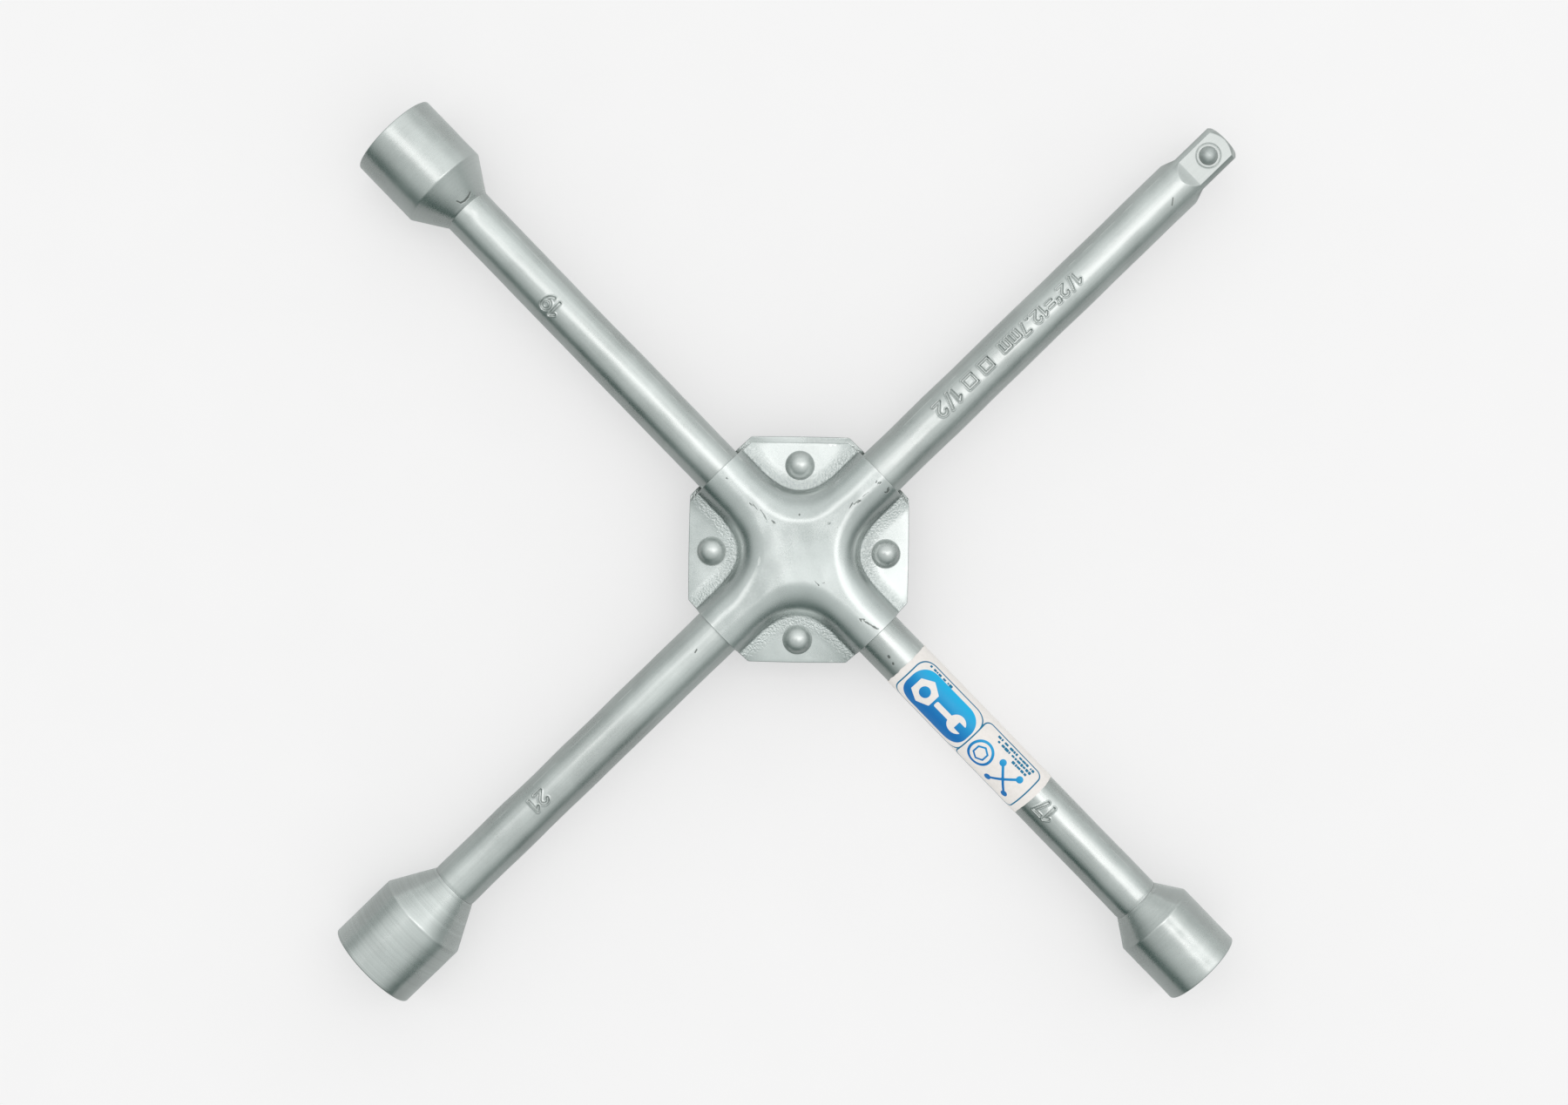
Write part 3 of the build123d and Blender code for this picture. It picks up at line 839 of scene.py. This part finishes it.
def build_hub(name, slip, side):
    """A pressed half shell: a cross-shaped dome with rolled edges, flanges between the arms, and lips of
    real sheet thickness. Slip is how far its blank lies off the dome. Side is +1 for the upper shell."""
    all_points, all_quads, offset = [], [], 0
    for sx in (1.0, -1.0):
        for sy in (1.0, -1.0):
            rows, side_count = hub_quarter(slip, sx, sy)
            lips = [mouth_lip(rows, side_count, 0, ALONG_X), mouth_lip(rows, side_count, -1, ALONG_Y)]
            for patch in (rows, *lips, crown(rows[0]), crown(rows[-1])):
                all_points.append((patch * np.array([sx, sy, 1.0])).reshape(-1, 3))
                all_quads.append(grid_quads(patch.shape[0], patch.shape[1]) + offset)
                offset += patch.shape[0] * patch.shape[1]
    points, faces = weld(np.concatenate(all_points), np.concatenate(all_quads))
    away = np.hypot(points[:, 0], points[:, 1])
    upper = ease(0.5, 2.0, points[:, 2])
    points[:, 2] += upper * (0.06 * waves(points, 20.0, 31 + int(side)) + 0.025 * waves(points, 7.0, 33))
    points[:, 2] -= upper * 0.22 * (1.0 - ease(1.5, 11.0, away))
    points[:, 2] *= side
    return make_mesh(name, points, faces, 40.0)


def dome_distance(points):
    """How far each point is beyond the dome's base in plan. On the dome it is negative."""
    x, y = np.abs(points[:, 0]), np.abs(points[:, 1])
    round_corner = CORNER_R - np.hypot(CORNER_AT - x, CORNER_AT - y)
    return np.where((x < CORNER_AT) & (y < CORNER_AT), round_corner, np.minimum(x, y) - HUB_CREST)


def flakes(path, seed, spread, step, half):
    """Broken flakes of plating strung along a path, as (start, end, half width)."""
    draw = np.random.default_rng(seed)
    made = []
    for start, end in zip(np.array(path[:-1]), np.array(path[1:])):
        way = (end - start) / np.linalg.norm(end - start)
        for along in np.arange(0.0, np.linalg.norm(end - start), step):
            at = start + way * along + draw.normal(0.0, spread, 2)
            run = way * step * draw.uniform(0.5, 1.5) + draw.normal(0.0, spread, 2)
            if draw.random() < 0.85:
                made.append((tuple(at), tuple(at + run), half * draw.uniform(-0.3, 1.0)))
    return made


# Small marks on the upper shell: flaked plating on the crests, pits and scratches.
HUB_MARKS = [
    *flakes([(-0.6, 22.3), (-0.3, 21.0), (0.4, 18.4), (0.35, 15.9), (-0.6, 13.4)], 3, 0.14, 0.7, 0.11),
    *flakes([(0.9, 13.2), (1.0, 12.2), (0.4, 11.9)], 5, 0.1, 0.5, 0.1),
    *flakes([(13.0, 1.0), (13.4, -1.2), (14.4, -2.6)], 8, 0.2, 0.7, 0.14),
    *flakes([(19.0, -1.0), (24.3, -1.1), (27.6, -1.4)], 11, 0.35, 1.7, 0.13),
    *flakes([(32.3, -1.4), (33.6, -2.6)], 12, 0.3, 0.6, 0.12),
    *flakes([(31.3, -4.6), (32.5, -5.8), (33.8, -5.2)], 13, 0.25, 0.6, 0.12),
    *flakes([(-0.9, -27.7), (-0.2, -30.0), (0.4, -32.4), (1.2, -34.6)], 14, 0.2, 0.8, 0.13),
    *flakes([(-3.0, -10.0), (-2.2, -11.6), (-1.2, -13.0)], 17, 0.25, 0.9, 0.13),
    ((8.2, 8.3), (8.4, 8.4), 0.2),
    ((-0.1, 32.2), (0.1, 31.9), 0.15),
]


def grit(points):
    """Where the pressed sheet is pebbled: on the flanges next to the bend."""
    beyond = dome_distance(points)
    return ease(-2.0, -0.5, beyond) * ease(4.5, 0.5, beyond)


for level, slip, side in (("top", 0.0, 1.0), ("bottom", LOWER_SLIP, -1.0)):
    shell = build_hub(f"hub_shell_{level}", slip, side)
    places = place_of(shell)
    store(shell, "mark", plan_marks(places, HUB_MARKS))
    store(shell, "grit", grit(places))
    fit(shell, "wrench", "hub_plating", hub_steel, f"hub_plate_{level}")


# ---- rivets ----

RIVET_SHANK = 2.75
RIVET_HEAD = 4.65
RIVET_RISE = 3.4
RIVET_CURVE = (RIVET_HEAD**2 + RIVET_RISE**2) / (2.0 * RIVET_RISE)


def rivet_profile(lean):
    """A rivet's half section from the top of one head to the top of the other. Lean is how much steeper
    the head falls away than a sphere."""
    top = SHEET + 0.5
    sweep = math.asin(RIVET_HEAD / RIVET_CURVE)
    head = []
    for u in np.linspace(0.0, 0.94, 22):
        a = sweep * u
        fall = RIVET_CURVE * (1.0 - math.cos(a))
        head.append((RIVET_CURVE * math.sin(a), top + RIVET_RISE - 0.1 - fall * (1.0 + lean)))
    head.append((RIVET_HEAD - 0.06, max(top + 0.22, head[-1][1] - 0.3)))
    head.append((RIVET_HEAD, top + 0.1))
    head.append((RIVET_HEAD - 0.12, top - 0.08))
    head.append((RIVET_SHANK, top - 0.1))
    return head + [(r, -z) for r, z in head[::-1]]


rivet_places = ((1, 1, 0.0), (-1, 1, 0.02), (-1, -1, -0.02), (1, -1, 0.01))
for number, (side_x, side_y, lean) in enumerate(rivet_places, start=1):
    centre = (side_x * RIVET_OFFSET, side_y * RIVET_OFFSET)
    rivet = revolved_mesh(f"rivet_head_{number}", rivet_profile(lean), centre, 72)
    fit(rivet, "wrench", "rivet_plating", rivet_steel, f"rivet_{number}")


# ---- ball and spring ----

ball_profile = []
for a in np.linspace(math.pi / 2.0, -math.pi / 2.0, 49):
    wear = 0.015 * max(0.0, math.sin(a) - 0.93) / 0.07
    ball_profile.append((max(0.0, BALL_R * math.cos(a)), BALL_PLACE[2] + BALL_R * math.sin(a) - wear))
ball = revolved_mesh("latch_ball", ball_profile, BALL_PLACE[:2], 96, 60.0)
fit(ball, "ball", "ball_steel", ball_steel, "detent_ball")

WIRE_R = 0.3
COIL_R = 2.2
TURNS = 8
TOUCH_GAP = 0.02
spring_low = POCKET_FLOOR + WIRE_R + TOUCH_GAP
spring_high = BALL_PLACE[2] - math.sqrt((BALL_R + WIRE_R + TOUCH_GAP) ** 2 - COIL_R**2)


def build_spring():
    """A round-wire compression spring whose two end turns are closed."""
    count = 12
    along = np.linspace(0.0, 1.0, 48 * TURNS)
    turn = along * 2.0 * math.pi * TURNS
    closed = (WIRE_R * 2.0) / (spring_high - spring_low)
    lift = np.interp(along * TURNS, [0, 1, TURNS - 1, TURNS], [0, closed, 1 - closed, 1])
    outward = np.column_stack([np.cos(turn), np.sin(turn), np.zeros(len(turn))])
    line = COIL_R * outward
    line[:, 0] += BALL_PLACE[0]
    line[:, 2] = spring_low + (spring_high - spring_low) * lift
    rings = []
    for a in np.linspace(0.0, 2.0 * math.pi, count, endpoint=False):
        rings.append(line + WIRE_R * (math.cos(a) * outward + math.sin(a) * UP))
    rings = np.array(rings).transpose(1, 0, 2)
    tips = [np.broadcast_to(p, (1, count, 3)) for p in (line[0], line[-1])]
    rings = np.concatenate([tips[0], rings, tips[1]])
    quads = grid_quads(len(rings), count, True)
    return make_mesh("latch_spring", *weld(rings.reshape(-1, 3), quads), 50.0)


spring = build_spring()
fit(spring, "wrench", "spring_steel", spring_steel, "detent_spring")
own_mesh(spring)


# ---- label ----


def box_distance(x, y, cx, cy, half_x, half_y, corner):
    """How far each place is outside a rectangle with round corners. Inside it is negative."""
    dx = np.abs(x - cx) - half_x + corner
    dy = np.abs(y - cy) - half_y + corner
    outside = np.hypot(np.maximum(dx, 0.0), np.maximum(dy, 0.0))
    return outside + np.minimum(np.maximum(dx, dy), 0.0) - corner


def hexagon_distance(x, y, cx, cy, half):
    """How far each place is outside a hexagon of this inner radius."""
    far = np.full(x.shape, -1e3)
    for turn in np.radians([0.0, 60.0, 120.0]):
        far = np.maximum(far, np.abs((x - cx) * math.cos(turn) + (y - cy) * math.sin(turn)) - half)
    return far


def print_words(s, y, start, end, at, half, seed):
    """A line of printing too small to read, as short broken bars from start to end."""
    draw = np.random.default_rng(seed)
    near = np.full(s.shape, 9.0)
    x = start
    while x < end:
        width = min(draw.uniform(0.5, 1.5), end - x)
        tall = half * draw.uniform(0.7, 1.15)
        near = np.minimum(near, box_distance(s, y, x + width / 2.0, at, width / 2.0, tall, 0.1))
        x += width + draw.choice([0.22, 0.25, 0.8])
    return near


def label_print(s, y):
    """Line ink and solid ink as distances from each ink's edge. s runs outward along the arm and y to
    the side the print's top faces."""
    first = box_distance(s, y, 64.8, -2.2, 14.0, 8.9, 5.0)
    second = box_distance(s, y, 90.9, -2.2, 12.1, 8.9, 2.4)
    line = np.minimum(np.abs(first), np.abs(second)) - 0.24
    small_print = ((54.0, 64.0, 5.3), (84.5, 100.5, 5.2), (85.5, 100.0, 3.8), (93.0, 99.5, 2.4))
    for seed, (start, end, at) in enumerate(small_print, start=20):
        line = np.minimum(line, print_words(s, y, start, end, at, 0.48, seed))

    # A block with a nut and an open-ended wrench left clear in it.
    block = box_distance(s, y, 65.0, -2.1, 13.0, 6.9, 5.9)
    nut = hexagon_distance(s, y, 58.6, -2.1, 3.9)
    bolt = 1.9 - np.hypot(s - 58.6, y + 2.1)
    handle = box_distance(s, y, 67.8, -2.1, 4.4, 0.95, 0.5)
    head = np.hypot(s - 72.6, y + 2.1) - 3.1
    jaw = box_distance(s, y, 75.2, -2.1, 2.4, 1.3, 0.2)
    figure = np.minimum(handle, np.maximum(head, -jaw))
    clear = np.minimum(np.maximum(nut, bolt), figure)
    solid = np.maximum(block, -clear)

    # A nut end-on, and a four-way wrench with a socket on each arm.
    solid = np.minimum(solid, np.abs(np.hypot(s - 84.3, y + 2.9) - 3.9) - 0.45)
    solid = np.minimum(solid, np.abs(hexagon_distance(s, y, 84.3, -2.9, 2.0)) - 0.3)
    for dx, dy in ((1.0, 1.0), (-1.0, 1.0)):
        ends = np.array([(95.0 - 3.7 * dx, -3.6 - 3.7 * dy), (95.0 + 3.7 * dx, -3.6 + 3.7 * dy)])
        solid = np.minimum(solid, stroke_distance([ends], s, y) - 0.42)
        for x, across in ends:
            solid = np.minimum(solid, np.hypot(s - x, y - across) - 1.15)
    return line, solid


def build_label():
    """The printed film round the 17 mm arm, with a slit underneath where its ends don't quite meet."""
    start, end = FILM
    half_turn = math.degrees(math.pi - 1.5 / BAR_R)
    angles = np.radians(stations((-half_turn, half_turn, 1.7)))
    s, angle = np.meshgrid(stations((start, end, 0.24)), angles, indexing="ij")
    axis = -ALONG_Y
    bare = s[..., None] * axis
    outward = round_way(angle, np.cross(UP, axis))
    lift = BAR_R + 0.13 + 0.02 * waves(bare + BAR_R * outward, 5.0, 71)
    near_end = ease(start + 0.8, start, s) + ease(end - 0.8, end, s)
    fray = 0.12 * waves(bare + BAR_R * outward, 2.5, 73) * near_end
    bare = bare + fray[..., None] * axis
    top = bare + lift[..., None] * outward
    low = bare + (BAR_R + 0.02) * outward
    rows, columns = s.shape
    ring = np.concatenate([top, low[:, ::-1]], axis=1)
    faces = grid_quads(rows, 2 * columns, wrap=True).tolist()
    for row in (0, rows - 1):
        first = row * 2 * columns
        last = first + 2 * columns - 1
        faces += [[first + k, first + k + 1, last - k - 1, last - k] for k in range(columns - 1)]
    piece = make_mesh("label_wrap", ring.reshape(-1, 3), faces, 50.0)
    lines, solids = label_print(s, BAR_R * angle)
    # across, the place round the arm, sets the painted shade and highlight across the solid ink.
    for key, values in (("line_ink", lines), ("solid_ink", solids), ("across", BAR_R * angle)):
        store(piece, key, np.concatenate([values, np.full(s.shape, 2.0)], axis=1))
    fit(piece, "wrench", "label_film", label_film, "size_label")


build_label()


# ---- floor, light and camera ----

FLOOR_AT = -15.55
PICTURE_TURN = math.radians(-44.1)
picture_right = np.array([math.cos(PICTURE_TURN), math.sin(PICTURE_TURN), 0.0])
picture_up = np.array([-math.sin(PICTURE_TURN), math.cos(PICTURE_TURN), 0.0])


def build_floor():
    """A round pale floor at the height the wrench lies at. It shows paler than the light it gives back."""
    count = 96
    turn = np.linspace(0.0, 2.0 * math.pi, count, endpoint=False)
    rings = [
        np.column_stack([r * np.cos(turn), r * np.sin(turn), np.full(count, FLOOR_AT)])
        for r in (0.0, 300.0, 900.0, 2500.0, 6000.0)
    ]
    floor = make_mesh("floor", *weld(np.concatenate(rings), grid_quads(len(rings), count, True)))
    material, g = new_material("floor_paint")
    space = g.add("ShaderNodeTexCoord").outputs["Object"]
    mottle = g.noise(space, 30.0, 3.0)
    tone = g.mix(mottle, (0.50, 0.50, 0.50, 1.0), (0.52, 0.52, 0.52, 1.0))
    paint = g.add("ShaderNodeBsdfDiffuse", {"Color": tone, "Roughness": 0.5})
    glow = g.add("ShaderNodeEmission", {"Color": (1.0, 1.0, 1.0, 1.0), "Strength": 0.47})
    pale = g.add("ShaderNodeAddShader", {0: paint.outputs[0], 1: glow.outputs[0]})
    rays = g.add("ShaderNodeLightPath").outputs
    glows = g.math("MAXIMUM", rays["Is Camera Ray"], rays["Is Diffuse Ray"])
    sheen = g.add("ShaderNodeBsdfGlossy", {"Color": (0.9, 0.93, 0.92, 1.0), "Roughness": 0.4})
    satin = g.add("ShaderNodeMixShader", {0: 0.4, 1: paint.outputs[0], 2: sheen.outputs[0]})
    both = g.add("ShaderNodeMixShader", {0: glows, 1: satin.outputs[0], 2: pale.outputs[0]})
    g.end(both)
    floor.data.materials.append(material)


def build_room():
    """A studio room as light: a pale ceiling, and walls that are darker towards the picture's bottom."""
    world = bpy.data.worlds.new("studio")
    bpy.context.scene.world = world
    world.use_nodes = True
    g = Graph(world.node_tree)
    way = g.add("ShaderNodeTexCoord").outputs["Generated"]
    rise = g.add("ShaderNodeSeparateXYZ", {0: way}).outputs["Z"]

    def towards(direction):
        """How far the view turns this way."""
        feeds = {0: way, 1: tuple(direction)}
        return g.add("ShaderNodeVectorMath", feeds, operation="DOT_PRODUCT").outputs["Value"]

    side = towards(0.2 * picture_up + 0.1 * picture_right)
    far = g.math("MAXIMUM", towards(picture_up), 0.0)
    ceiling = g.fit_range(rise, 0.12, 0.8)
    low = g.fit_range(rise, 0.05, 0.5, 1.0, 0.0)
    wall = g.plus(g.math("ADD", side, 0.3), g.math("MULTIPLY", far, low), 0.32)
    level = g.plus(wall, ceiling, 0.56)
    level = g.math("ADD", level, g.math("MULTIPLY", ceiling, g.math("MULTIPLY", side, 0.7)))
    red = g.math("SUBTRACT", level, 0.045)
    blue = g.math("SUBTRACT", level, 0.012)
    colour = g.add("ShaderNodeCombineColor", {0: red, 1: level, 2: blue})
    plain = g.add("ShaderNodeBackground", {"Color": (0.9, 0.9, 0.9, 1.0), "Strength": 1.0})
    lit = g.add("ShaderNodeBackground", {"Color": colour.outputs[0], "Strength": 1.0})
    rays = g.add("ShaderNodeLightPath").outputs
    even = g.math("MAXIMUM", rays["Is Camera Ray"], rays["Is Diffuse Ray"])
    both = g.add("ShaderNodeMixShader", {0: even, 1: lit.outputs[0], 2: plain.outputs[0]})
    g.end(both, "World")


def add_softbox(name, right, up, height, size_right, size_up, radiance):
    """A rectangular softbox above the wrench, square to the picture. Its places and sizes are metres."""
    light = bpy.data.lights.new(name, "AREA")
    light.shape = "RECTANGLE"
    light.size, light.size_y = size_right, size_up
    light.color = (1.0, 0.95, 0.955)
    light.energy = radiance * size_right * size_up * math.pi
    box = bpy.data.objects.new(name, light)
    bpy.context.scene.collection.objects.link(box)
    box.location = right * picture_right + up * picture_up + height * UP
    box.rotation_euler = (0.0, 0.0, PICTURE_TURN)


build_floor()
build_room()
add_softbox("strip_softbox", right=0.3, up=0.36, height=1.5, size_right=2.1, size_up=0.3, radiance=1.0)
add_softbox("side_softbox", right=0.42, up=0.0, height=1.5, size_right=0.56, size_up=0.4, radiance=1.2)

# The camera looks straight down, from a little beside the crossing.
camera = bpy.data.cameras.new("camera")
camera.lens = 58.4
camera.sensor_width = 36.0
camera.dof.use_dof = False
camera.clip_end = 30.0
camera_object = bpy.data.objects.new("camera", camera)
bpy.context.scene.collection.objects.link(camera_object)
camera_object.location = (-0.0033, 0.0032, 0.8)
camera_object.rotation_euler = (0.0, 0.0, PICTURE_TURN)
bpy.context.scene.camera = camera_object
bpy.context.scene.view_settings.view_transform = "Standard"
